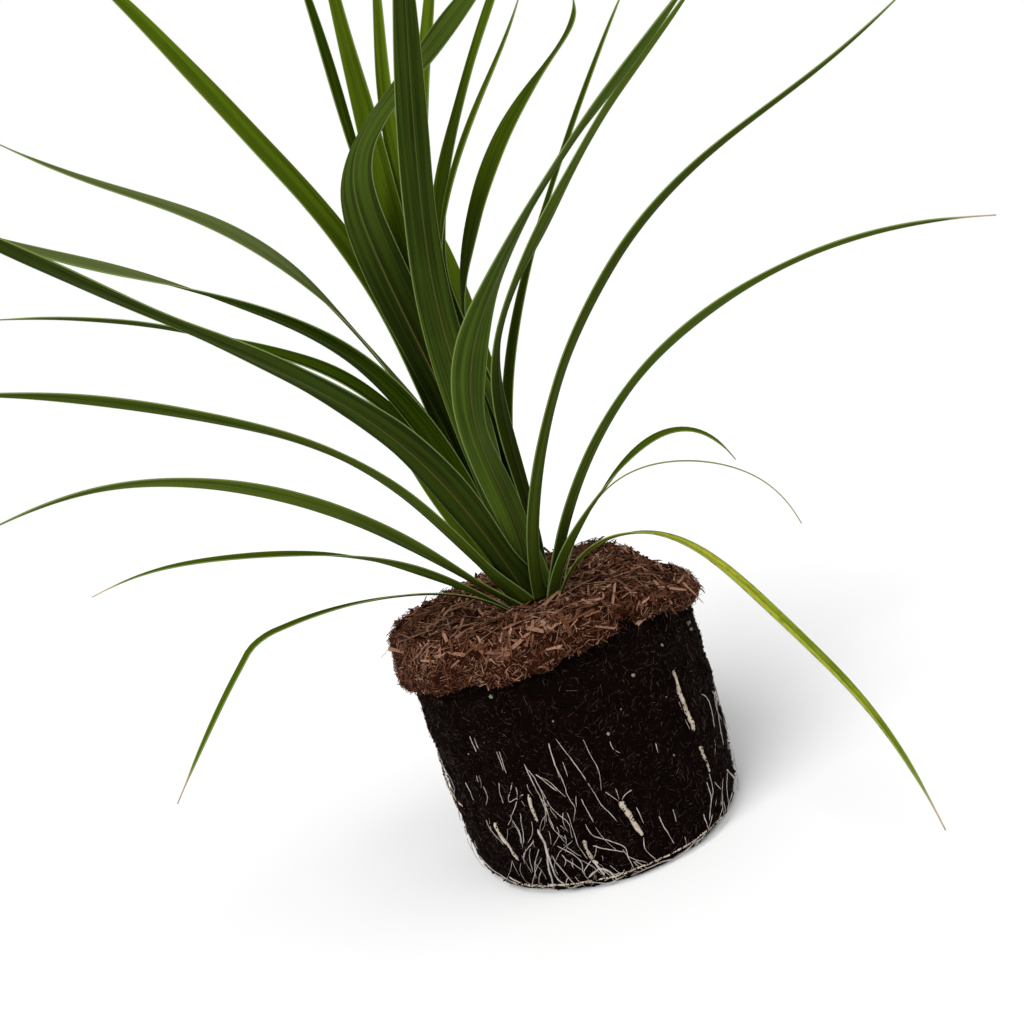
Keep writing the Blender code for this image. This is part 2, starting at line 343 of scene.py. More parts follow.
def blade_group():
    """Banded green with fine ribs along the blade, a midrib, pale margins and a dry tip, scaled along the
    blade by its tone, which holds painted light and painted shade as well as the blade's own tone.
    """
    sockets = (
        ("Light", COLOUR, BLACK),
        ("Deep", COLOUR, BLACK),
        ("Midrib", COLOUR, BLACK),
        ("Rust", COLOUR, BLACK),
        ("Margin", COLOUR, BLACK),
        ("Dry", COLOUR, BLACK),
        ("Midrib Strength", NUMBER, 0.5),
        ("Tip Start", NUMBER, 0.97),
        ("Speckle", NUMBER, 0.0),
    )
    group, given = new_group("Blade Surface", sockets)
    uv = put(group, "ShaderNodeUVMap", uv_map="UVMap").outputs[0]
    place = put(group, "ShaderNodeTexCoord").outputs["Object"]
    side = calc(group, "ABSOLUTE", own_value(group, "across"))
    share = own_value(group, "along")
    run = put(group, "ShaderNodeSeparateXYZ", {0: uv}).outputs[0]

    bands = mask(group, grain(group, uv, 1.0, 2.0, BAND_STRETCH), 0.42, 0.56)
    threads = mask(group, grain(group, uv, 1.0, 2.0, THREAD_STRETCH), 0.42, 0.62)
    patches = mask(group, grain(group, place, 45.0), 0.38, 0.68)
    ribs = calc(group, "ADD", wave(group, run, WIDE_RIB), product(group, wave(group, run, FINE_RIB), 0.6))
    ribs = product(group, ribs, 0.6)
    body = mixed(group, product(group, bands, 0.80), given["Deep"], given["Light"])
    body = mixed(group, product(group, patches, 0.25), body, given["Light"])
    body = mixed(group, product(group, ribs, 0.42), body, given["Deep"])
    body = mixed(group, product(group, threads, 0.30), body, given["Light"])
    # Painted light and shade: each blade's tone stations scale its colour from base to tip.
    shaded = {0: body, "Scale": own_value(group, "tone")}
    body = put(group, "ShaderNodeVectorMath", shaded, operation="SCALE").outputs[0]

    low = fading(group, share, 0.15, 0.62)
    flush = product(group, product(group, fading(group, side, 0.03, 0.30), low), 0.45)
    body = mixed(group, product(group, flush, given["Midrib Strength"]), body, given["Rust"])
    rib = product(group, fading(group, side, 0.010, 0.055), fading(group, share, 0.60, 0.97))
    body = mixed(group, product(group, rib, given["Midrib Strength"]), body, given["Midrib"])
    edge = fading(group, own_value(group, "inset"), *MARGIN_EDGE)
    body = mixed(group, product(group, edge, 0.80), body, given["Margin"])

    specks = mask(group, grain(group, uv, 1.0, 2.0, SPECK_STRETCH), 0.55, 0.62)
    body = mixed(group, product(group, specks, given["Speckle"]), body, given["Deep"])
    tip_edge = calc(group, "ADD", given["Tip Start"], 0.03)
    tip = put(group, "ShaderNodeMapRange", {0: share, 1: given["Tip Start"], 2: tip_edge}).outputs[0]
    body = mixed(group, tip, body, given["Dry"])
    height = calc(group, "ADD", product(group, ribs, 0.35), product(group, rib, 0.6))
    return finish_group(group, body, ranged(group, bands, 0.42, 0.55), height)


def bark_group():
    """Bark whose tone each chip carries, painted shade in the crevice included, with a fine grain."""
    sockets = (("Middle", COLOUR, BLACK), ("Dark", COLOUR, BLACK), ("Pale", COLOUR, BLACK))
    group, given = new_group("Bark Surface", sockets)
    place = put(group, "ShaderNodeTexCoord").outputs["Object"]
    tone = own_value(group, "tone")
    fine = grain(group, place, 1400.0, 3.0)
    body = mixed(group, mask(group, tone, 0.0, 0.5), given["Dark"], given["Middle"])
    body = mixed(group, mask(group, tone, 0.55, 1.0), body, given["Pale"])
    body = mixed(group, product(group, mask(group, fine, 0.45, 0.7), 0.55), body, given["Dark"])
    return finish_group(group, body, ranged(group, fine, 0.75, 0.95), fine)


def peat_group():
    """Near-black grains with drier, lighter ones among them."""
    sockets = (("Light", COLOUR, BLACK), ("Dark", COLOUR, BLACK))
    group, given = new_group("Peat Surface", sockets)
    place = put(group, "ShaderNodeTexCoord").outputs["Object"]
    coarse = grain(group, place, 160.0, 4.0)
    fine = grain(group, place, 1100.0, 3.0)
    light = product(group, mask(group, coarse, 0.45, 0.72), mask(group, fine, 0.48, 0.66))
    body = mixed(group, light, given["Dark"], given["Light"])
    height = calc(group, "ADD", fine, product(group, coarse, 1.5))
    return finish_group(group, body, ranged(group, fine, 0.75, 1.0), height)


def root_group():
    """Cream skin with peat stains and short cross lines."""
    sockets = (("Cream", COLOUR, BLACK), ("Stain", COLOUR, BLACK), ("Staining", NUMBER, 0.5))
    group, given = new_group("Root Surface", sockets)
    place = put(group, "ShaderNodeTexCoord").outputs["Object"]
    patches = mask(group, grain(group, place, 260.0, 3.0), 0.40, 0.70)
    fine = grain(group, place, 1600.0, 2.0, (1.0, 1.0, 2.5))
    body = mixed(group, product(group, patches, given["Staining"]), given["Cream"], given["Stain"])
    return finish_group(group, body, ranged(group, patches, 0.55, 0.80), calc(group, "ADD", fine, patches))


# ---------------------------------------------------------------- blades

Palette = namedtuple("Palette", "light deep midrib_strength tip_start speckle")
BLADE_LOOKS = {
    "leaf_front_tall": "broad",
    "leaf_wavy_left": "broad",
    "leaf_wavy_right": "broad",
    "leaf_left_4": "broad",
    "leaf_left_5": "broad",
    "leaf_top_1": "broad",
    "leaf_top_2": "fresh",
    "leaf_top_3": "fresh",
    "leaf_top_4": "fresh",
    "leaf_left_1": "fresh",
    "leaf_left_2": "pale_face",
    "leaf_left_3": "pale_face",
    "leaf_left_8": "dry_tip",
    "leaf_left_9": "dry_tip",
    "leaf_right_5": "dry_tip",
    "leaf_right_7": "thread",
    "leaf_right_8": "yellow",
}
# How light a blade is at even stations from its base to its tip: partly the blade's own tone, partly painted
# light and painted shade where it lies in the light or in the shade of other blades; the others are 1 all
# along.
BLADE_TONE_LIGHT_AND_SHADE = {
    "leaf_front_tall": (1.8, 1.25, 0.80, 0.8),
    "leaf_wavy_left": (0.35, 0.4, 1.25, 1.3),
    "leaf_wavy_right": (2.3, 1.7, 1.4, 1.3),
    "leaf_right_2": (0.25, 0.35, 1.1, 1.2, 1.2),
    "leaf_right_4": (0.9, 0.75, 0.8),
    "leaf_left_4": (0.7, 0.9, 1.0),
    "leaf_left_1": (0.6, 0.9, 1.2),
    "leaf_top_3": (0.8, 1.1, 1.2),
    "leaf_top_7": (0.8, 0.85, 0.85),
    "leaf_left_7": (1.0, 1.3, 1.4),
    "leaf_left_9": (0.3, 0.35, 0.9, 1.0),
    "leaf_right_8": (0.20, 0.5, 1.0, 1.0, 1.0),
    "leaf_right_3": (0.6, 0.5, 0.7),
}
# How many times wider a blade's clasping base is than the frame's, where that isn't the usual.
USUAL_SHEATH = 1.2
BLADE_SHEATHS = {
    "leaf_front_tall": 1.3,
    "leaf_wavy_left": 1.3,
    "leaf_wavy_right": 1.6,
    "leaf_left_2": 1.5,
    "leaf_left_3": 1.5,
    "leaf_left_4": 1.7,
    "leaf_left_5": 1.5,
    "leaf_left_6": 2.5,
    "leaf_left_7": 2.2,
    "leaf_left_8": 1.8,
    "leaf_left_9": 1.5,
    "leaf_right_3": 1.5,
}
SHEATH_LENGTH = 28.0 * MM
# Blades that start narrow: the share of their width at the base, and of their length where they are full.
BLADE_WAISTS = {
    "leaf_right_8": (0.30, 0.42),
    "leaf_left_9": (0.30, 0.70),
    "leaf_right_7": (0.35, 1.60),
    "leaf_right_2": (0.65, 0.45),
}
# How many times higher a blade's edges wave.
BLADE_RIPPLES = {
    "leaf_left_3": 1.8,
    "leaf_left_4": 2.6,
    "leaf_left_5": 2.0,
    "leaf_wavy_left": 1.6,
}
WIDE_BLADE = 8.0 * MM
WIDE_SEGMENTS = 12
NARROW_SEGMENTS = 6
TIP_SHARE = 0.90
TIP_NARROWING = 0.65
RIPPLE_LENGTH = 34.0 * MM
# A blade narrower than this waves less.
RIPPLE_WIDTH = 12.0 * MM
CREASE_SPREAD = 0.22
# The crease and the waves start and end between these shares of the length.
BODY_STARTS = (0.02, 0.15)
BODY_ENDS = (0.8, 1.0)
DIRECTION_STEP = 0.01


def blade_palettes(settings):
    """For each look, the palette of the upper face."""
    light = settings.light
    deep = settings.deep
    plain_light = blended(light, settings.fresh, 0.6)
    plain_deep = tinted(plain_light, 0.45)
    pale_light = blended(plain_light, settings.under, 0.8)
    pale_deep = blended(plain_deep, settings.under, 0.5)
    return {
        "broad": Palette(light, deep, 0.75, 0.985, 0.0),
        "plain": Palette(plain_light, plain_deep, 0.30, 0.975, 0.0),
        "pale_face": Palette(pale_light, pale_deep, 0.30, 0.975, 0.0),
        "fresh": Palette(settings.fresh, tinted(settings.fresh, 0.5), 0.20, 0.98, 0.0),
        "dry_tip": Palette(plain_light, plain_deep, 0.30, 0.93, 0.0),
        "yellow": Palette(settings.yellow, tinted(settings.fresh, 0.9), 0.10, 0.94, 0.60),
        "thread": Palette(settings.dry, tinted(settings.dry, 0.6), 0.0, 0.99, 0.3),
    }


def underside(look, palette, settings):
    """The palette of the other face: dark on the pale-faced blades, and little different on the others."""
    if look in ("yellow", "thread"):
        return palette
    if look == "pale_face":
        return palette._replace(light=settings.light, deep=settings.deep)
    light = blended(palette.light, settings.under, 0.15)
    deep = blended(palette.deep, tinted(settings.under, 0.6), 0.15)
    return palette._replace(light=light, deep=deep)


def blade_material(name, group, palette, settings):
    values = {
        "Light": rgba(palette.light),
        "Deep": rgba(palette.deep),
        "Midrib": rgba(settings.midrib),
        "Rust": rgba(settings.rust),
        "Margin": rgba(settings.margin),
        "Dry": rgba(settings.dry),
        "Midrib Strength": palette.midrib_strength,
        "Tip Start": palette.tip_start,
        "Speckle": palette.speckle,
    }
    return finish_material(name, group, values, 0.12 * MM, 0.006)


def blade_materials(settings):
    """An upper and an underside material for each look."""
    group = blade_group()
    made = {}
    for look, palette in blade_palettes(settings).items():
        upper = blade_material(look + "_blade", group, palette, settings)
        below = blade_material(look + "_blade_underside", group, underside(look, palette, settings), settings)
        made[look] = (upper, below)
    return made


def blade_rows(node):
    """Rows of a blade's points from base to tip, in the order in which the frame's mesh joins them."""
    bm = merged_copy(node)
    tip = max(bm.verts, key=lambda vert: (vert.co - CROWN).length)
    row = [vert for vert in bm.verts if (vert.co - tip.co).length < TIP_REACH]
    seen = set(row)
    rows = []
    while row:
        rows.append([vert.co.copy() for vert in sorted(row, key=lambda vert: vert.index)])
        row = list({edge.other_vert(vert) for vert in row for edge in vert.link_edges} - seen)
        seen.update(row)
    bm.free()
    rows.reverse()
    return rows


def middle_surface(node):
    """Columns of points on a blade's middle surface, base to tip, so that its upper face is outside."""
    rows = blade_rows(node)
    middle = []
    across = None
    for points in rows:
        ends = max(combinations(points, 2), key=lambda pair: (pair[0] - pair[1]).length)
        direction = ends[1] - ends[0]
        if across is not None:
            if direction.dot(across) < 0:
                direction = -direction
            if points is rows[-1]:
                direction = across
        across = direction.normalized()
        points.sort(key=across.dot)
        middle.append([(first + second) / 2 for first, second in zip(points[::2], points[1::2])])
    base = middle[0]
    facing = (base[-1] - base[0]).cross(middle[1][0] - base[0])
    if facing.dot(Vector((-base[0].x, -base[0].y, 0.0))) < 0:
        middle = [list(reversed(row)) for row in middle]
    return [list(column) for column in zip(*middle)]


def blade_mesh(node, settings):
    """A fine grid laid on the blade's middle surface, with a crease, waved edges and a sharp tip."""
    columns = middle_surface(node)
    centre = columns[len(columns) // 2]
    length = sum((b - a).length for a, b in zip(centre, centre[1:]))
    widest = max((a - b).length for a, b in zip(columns[0], columns[-1]))
    steps = round(length / settings.row_spacing)
    bm = bmesh.new()
    across_layer = bm.verts.layers.float.new("across")
    along_layer = bm.verts.layers.float.new("along")
    inset_layer = bm.verts.layers.float.new("inset")
    tone_light_and_shade_layer = bm.verts.layers.float.new("tone")
    uv_layer = bm.loops.layers.uv.new("UVMap")
    segments = WIDE_SEGMENTS if widest > WIDE_BLADE else NARROW_SEGMENTS
    tones_light_and_shade = BLADE_TONE_LIGHT_AND_SHADE.get(node, (1.0, 1.0))
    clasp = BLADE_SHEATHS.get(node, USUAL_SHEATH) - 1.0
    waist, waist_end = BLADE_WAISTS.get(node, (1.0, 1.0))
    ripple = settings.ripple * BLADE_RIPPLES.get(node, 1.0)
    bmesh.ops.create_grid(bm, x_segments=segments, y_segments=steps, size=1.0)
    phase = random.Random(node).uniform(0, 100)
    rows = {}
    metric = {}
    for vert in bm.verts:
        side = vert.co.x
        share = min(max((vert.co.y + 1) / 2, 0.0), 1.0)
        key = round(share * steps)
        if key not in rows:
            stations = [along(column, share) for column in columns]
            before = along(centre, max(share - DIRECTION_STEP, 0.0))
            after = along(centre, min(share + DIRECTION_STEP, 1.0))
            width = stations[-1] - stations[0]
            rows[key] = (stations, width.length, width.cross(after - before).normalized())
        stations, width, normal = rows[key]
        middle = stations[len(stations) // 2]
        place = along(stations, (side + 1) / 2)
        narrow = 1.0 - TIP_NARROWING * smooth_step(TIP_SHARE, 1.0, share)
        narrow *= waist + (1.0 - waist) * smooth_step(0.0, waist_end, share)
        place = middle + (place - middle) * narrow
        sheath = 1.0 - smooth_step(0.0, SHEATH_LENGTH, share * length)
        turn = azimuth_between(middle, place) * clasp * sheath
        place.rotate(Matrix.Rotation(turn, 3, "Z"))
        body = smooth_step(*BODY_STARTS, share) * (1.0 - smooth_step(*BODY_ENDS, share))
        sink = settings.crease * width * exp(-((side / CREASE_SPREAD) ** 2)) * body
        swell = noise.noise(Vector((share * length / RIPPLE_LENGTH, phase, 2.0 * side)))
        lift = ripple * swell * side * side * body * min(width / RIPPLE_WIDTH, 1.0)
        vert.co = place + normal * (lift - sink)
        vert[across_layer] = side
        vert[along_layer] = share
        vert[inset_layer] = (1.0 - abs(side)) * narrow * width / 2
        # Painted light and shade: the blade's tone stations, which also hold its own tone.
        vert[tone_light_and_shade_layer] = along(tones_light_and_shade, share)
        metric[vert] = (side * width / 2 + phase, share * length)
    for face in bm.faces:
        for loop in face.loops:
            loop[uv_layer].uv = metric[loop.vert]
    mesh = bpy.data.meshes.new(node.replace("leaf", "blade"))
    bm.to_mesh(mesh)
    bm.free()
    mesh.shade_smooth()
    return mesh


# ---------------------------------------------------------------- scattering


def to_mesh(bm, name):
    mesh = bpy.data.meshes.new(name)
    bm.to_mesh(mesh)
    bm.free()
    return mesh


def spread(bm, count, rng, wanted=None):
    """Random places on a mesh's faces, each with its face's normal."""
    faces = [face for face in bm.faces if wanted is None or wanted(face)]
    areas = [face.calc_area() for face in faces]
    for face in rng.choices(faces, weights=areas, k=count):
        corners = [vert.co for vert in face.verts]
        u = rng.random()
        v = rng.random()
        near = corners[0].lerp(corners[1], u)
        far = corners[-1].lerp(corners[2], u)
        yield near.lerp(far, v), face.normal.copy()


def lying(place, normal, rng, tilt, downwards=0.0):
    """A placing whose Z runs along a surface, tilted or drawn downwards, and whose Y stands off it."""
    tangent = normal.orthogonal()
    tangent.rotate(Matrix.Rotation(rng.uniform(0, 2 * pi), 3, normal))
    tangent = (tangent - UP * downwards).normalized()
    tangent = (tangent + normal * rng.gauss(0, tilt)).normalized()
    side = normal.cross(tangent).normalized()
    out = tangent.cross(side)
    turn = Matrix((side, out, tangent)).transposed()
    return Matrix.Translation(place) @ turn.to_4x4()


def lying_along(place, normal, turn):
    """A placing whose Z runs along a surface at a turn about the vertical, and whose Y stands off it."""
    level = Vector((cos(turn), sin(turn), 0.0))
    side = normal.cross(level).normalized()
    matrix = Matrix((side, normal, side.cross(normal))).transposed()
    return Matrix.Translation(place) @ matrix.to_4x4()


class Heap:
    """Many small shapes gathered into one mesh, a batch at a time because that is quicker."""

    BATCH = 120

    def __init__(self, name):
        self.name = name
        self.whole = bmesh.new()
        self.whole.verts.layers.float.new("tone")
        self.new_batch()

    def new_batch(self):
        self.batch = bmesh.new()
        self.tone = self.batch.verts.layers.float.new("tone")
        self.count = 0

    def add(self, shape):
        """Adds a copy of a shape's mesh and returns its points."""
        if self.count == self.BATCH:
            self.join_batch()
        self.batch.from_mesh(shape)
        self.batch.verts.ensure_lookup_table()
        self.count += 1
        return self.batch.verts[-len(shape.vertices):]

    def join_batch(self):
        mesh = to_mesh(self.batch, "batch")
        self.whole.from_mesh(mesh)
        bpy.data.meshes.remove(mesh)
        self.new_batch()

    def finished(self):
        self.join_batch()
        return to_mesh(self.whole, self.name)


# A crumb's middle stays at least this share of its width above the floor.
CRUMB_CLEARANCE = 0.7


def crumb_shape():
    bm = bmesh.new()
    bmesh.ops.create_icosphere(bm, subdivisions=1, radius=0.5)
    return to_mesh(bm, "crumb_shape")


def add_crumb(heap, shape, middle, width, rng):
    """An uneven crumb that stays off the floor."""
    middle.z = max(middle.z, SOIL_LOW.z + CRUMB_CLEARANCE * width)
    for vert in heap.add(shape):
        vert.co = middle + vert.co * width * rng.uniform(0.65, 1.25)


def sliver_shape(name, sides, cuts):
    """A rod one unit long and wide, from which splinters are made."""
    bm = bmesh.new()
    bmesh.ops.create_cone(bm, cap_ends=True, segments=sides, radius1=0.5, radius2=0.5, depth=1.0)
    if cuts:
        long_edges = [edge for edge in bm.edges if abs(edge.verts[0].co.z - edge.verts[1].co.z) > 0.5]
        bmesh.ops.subdivide_edges(bm, edges=long_edges, cuts=cuts)
    return to_mesh(bm, name)


def add_sliver(heap, shape, placing, size, rng, tone, bend=0.0):
    """A flat tapered splinter, ragged at its ends; size is width, thickness and length."""
    taper = rng.uniform(0.0, 0.75)
    width, thickness, length = size
    for vert in heap.add(shape):
        spot = vert.co
        narrow = 1.0 - taper * (spot.z + 0.5)
        ragged = rng.uniform(-0.16, 0.16) if abs(spot.z) > 0.4 else 0.0
        arch = bend * (0.25 - spot.z * spot.z)
        vert.co = placing @ Vector((
            width * (spot.x * narrow + rng.uniform(-0.10, 0.10)),
            thickness * (spot.y * narrow + rng.uniform(-0.15, 0.15)) + length * arch,
            length * (spot.z + ragged),
        ))
        vert[heap.tone] = tone


def lognormal(rng, middle, spread_share, low, high):
    return min(max(middle * exp(rng.gauss(0, spread_share)), low * middle), high * middle)


# ---------------------------------------------------------------- mulch

# How far the bed's lower edge rises and its rim falls, in mm, at azimuths round the plant.
EDGE_RISE = (
    (0, 1.0), (200, 0.5), (250, 4.5), (284, 7.5), (292, 10.0),
    (297, 14.0), (303, 8.5), (315, 7.5), (328, 4.0),
)
RIM_FALL = ((0, 14.0), (32, 11.0), (50, 0.0), (80, -2.5), (135, 0.0), (300, 0.0), (335, 13.0))
RIM_START = 35.0 * MM
# A crevice runs down through the rim.
CREVICE_AZIMUTH = 297.0
CREVICE_DEG = 4.0
CREVICE_DEPTH = 9.0 * MM
CREVICE_INWARDS = 0.6
# A shallow hollow in the top, beside the crown.
HOLLOW = Vector((-24.0, 10.0)) * MM
HOLLOW_SPREAD = Vector((9.0, 20.0)) * MM
HOLLOW_DEPTH = 4.0 * MM
# Large flakes that lie on top: x, y, turn in degrees, length and width in mm, and tone.
FLAKES = (
    (5.0, -20.0, 12, 8.0, 4.0, 0.85),
    (-5.5, -19.5, -14, 8.0, 3.0, 0.65),
    (18.0, -12.0, 46, 26.0, 1.3, 0.80),
    (25.0, -24.0, 40, 18.0, 1.0, 0.75),
    (-42.0, -7.0, 25, 9.0, 2.2, 0.75),
    (-47.0, -24.0, 10, 9.0, 2.4, 0.80),
    (-28.5, -46.5, 30, 10.0, 1.8, 0.80),
    (-11.0, -58.0, 10, 9.0, 1.8, 0.80),
    (-30.0, -30.0, 15, 8.0, 1.8, 0.75),
    (21.0, -50.0, -30, 8.0, 1.8, 0.65),
    (44.0, -20.0, 20, 9.0, 1.8, 0.70),
)
FLAKE_THICKNESS = 0.5 * MM
FLAKE_REACH = 1.5 * MM
# Flakes and strands lie this many millimetres off the bed.
ON_TOP = 1.6
# Faces that look up more than this are the bed's top; chips also cover its shoulder.
TOP_FACING = 0.85
CHIP_FACING = 0.25
FIBRE_FACING = 0.80
BED_HOLE = 20.0 * MM
BED_LIP = 8.0 * MM
BED_LIP_RISE = 1.5 * MM
BED_LIP_FOOT = 4.0 * MM
WIDEST_CHIP = 1.7 * MM
BED_STEPS = 200
BED_DETAIL = 1.6 * MM
BED_LUMP_LENGTH = 16.0 * MM
# The bed lies this far under the frame's surface, so that the chips reach it.
BED_SINK = 1.2 * MM
# Spans of a turned outline near its axis are divided at this length.
AXIS_SPAN = 6.0 * MM


def outline(node):
    """A turned node's outline in the XZ plane, in order round it, as (radius, height) points."""
    bm = merged_copy(node)
    points = [Vector((v.co.x, v.co.z)) for v in bm.verts if v.co.x > 0 and abs(v.co.y) < MERGE_DISTANCE]
    bm.free()
    middle = sum(points, Vector((0.0, 0.0))) / len(points)
    points.sort(key=lambda p: atan2(p.y - middle.y, p.x - middle.x))
    return points


def turned_shell(points, spacing, steps, closed):
    """A shell turned from an outline whose long outer spans are divided."""
    bm = bmesh.new()
    verts = [bm.verts.new((p.x, 0.0, p.y)) for p in points]
    pairs = list(zip(verts, verts[1:]))
    if closed:
        pairs.append((verts[-1], verts[0]))
    for first, second in pairs:
        bm.edges.new((first, second))
    for edge in bm.edges[:]:
        on_axis = min(vert.co.x for vert in edge.verts) < MERGE_DISTANCE
        cuts = int(edge.calc_length() / (AXIS_SPAN if on_axis else spacing))
        if cuts:
            bmesh.ops.subdivide_edges(bm, edges=[edge], cuts=cuts)
    bmesh.ops.spin(
        bm, geom=bm.verts[:] + bm.edges[:], cent=(0, 0, 0), axis=(0, 0, 1), dvec=(0, 0, 0),
        angle=2 * pi, steps=steps, use_merge=True, use_duplicate=False,
    )
    bmesh.ops.remove_doubles(bm, verts=bm.verts[:], dist=MERGE_DISTANCE)
    bmesh.ops.recalc_face_normals(bm, faces=bm.faces[:])
    bm.normal_update()
    return bm


def turn_between(first_deg, second_deg):
    """Size of the turn between two azimuths, in degrees."""
    return abs((first_deg - second_deg + 180) % 360 - 180)


def crevice_share(azimuth_deg):
    """From 0 away from the crevice to 1 in its middle."""
    return exp(-((turn_between(azimuth_deg, CREVICE_AZIMUTH) / CREVICE_DEG) ** 2))


def bed_outline():
    """The frame's mulch outline with its hole drawn in, so that the bed closes round the blades."""
    points = [point for point in outline("mulch_layer") if point.x > BED_HOLE]
    top = points[-1].y + BED_LIP_RISE
    return points + [Vector((BED_LIP, top)), Vector((BED_LIP, MULCH_LOW.z + BED_LIP_FOOT))]


def mulch_bed(settings):
    """The bed under the chips: the turned outline, lumpy, with an uneven edge, a worn side and a crevice."""
    bm = turned_shell(bed_outline(), BED_DETAIL, BED_STEPS, True)
    rng = random.Random(SEED)
    shift = Vector((rng.uniform(0, 9), rng.uniform(0, 9), 0.0))
    for vert in bm.verts:
        spot = vert.co.copy()
        lump = noise.fractal(spot / BED_LUMP_LENGTH + shift, 0.9, 2.1, 3) * settings.lump
        azimuth = degrees(atan2(spot.y, spot.x))
        radius = spot.to_2d().length
        out = ball_point(azimuth, 1.0, 0.0)
        height = smooth_step(MULCH_LOW.z, MULCH_HIGH.z, spot.z)
        rim = smooth_step(RIM_START, MULCH_RADIUS, radius)
        rise = around(EDGE_RISE, azimuth) * MM * (1.0 - height)
        fall = around(RIM_FALL, azimuth) * MM * rim * height
        crevice = crevice_share(azimuth) * rim
        away = spot.to_2d() - HOLLOW
        hollow = exp(-((away.x / HOLLOW_SPREAD.x) ** 2) - (away.y / HOLLOW_SPREAD.y) ** 2) * height
        inwards = out * (CREVICE_INWARDS * CREVICE_DEPTH * crevice)
        vert.co = spot + vert.normal * (lump - BED_SINK) - inwards
        vert.co.z += rise - fall - CREVICE_DEPTH * crevice * height - HOLLOW_DEPTH * hollow
    bm.normal_update()
    return bm


def drifting_tone_and_crevice_shade(place, rng, middle, spread_width):
    """A tone from 0 to 1 that drifts over the bed and differs from chip to chip, with painted shade that
    darkens it in the crevice.
    """
    drift = 0.35 * noise.noise(place / (13 * MM)) + 0.30 * noise.noise(place / (5 * MM))
    tone = min(max(rng.gauss(middle + drift, spread_width), 0.0), 1.0)
    rim = smooth_step(RIM_START, MULCH_RADIUS, place.to_2d().length)
    # Painted shade: the tone falls towards dark in the crevice down the rim.
    return tone * (1.0 - 0.9 * crevice_share(degrees(atan2(place.y, place.x))) * rim)


# ---------------------------------------------------------------- pieces


def show(mesh, node, slot, *materials):
    """Makes a piece of a mesh, in place of a frame node or beside them."""
    piece = bpy.data.objects.new(mesh.name, mesh)
    bpy.context.scene.collection.objects.link(piece)
    for material in materials:
        mesh.materials.append(material)
    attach(piece, BODY)
    if node:
        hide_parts(node)
    return piece


class BuildBlades(bpy.types.Operator):
    """Lays a fine, creased and veined blade on each leaf of the frame"""

    bl_idname = "cordyline.build_blades"
    bl_label = "Blades"

    def execute(self, context):
        settings = context.scene.cordyline_blades
        materials = blade_materials(settings)
        for node in sorted(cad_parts):
            if not node.startswith("leaf_"):
                continue
            look = BLADE_LOOKS.get(node, "plain")
            slot = {"yellow": "leaf_yellow", "thread": "leaf_dry"}.get(look, "leaf")
            piece = show(blade_mesh(node, settings), node, slot, *materials[look])
            solid = piece.modifiers.new("Thickness", "SOLIDIFY")
            solid.thickness = settings.thickness
            solid.offset = 0.0
            solid.material_offset = 1
        return {"FINISHED"}


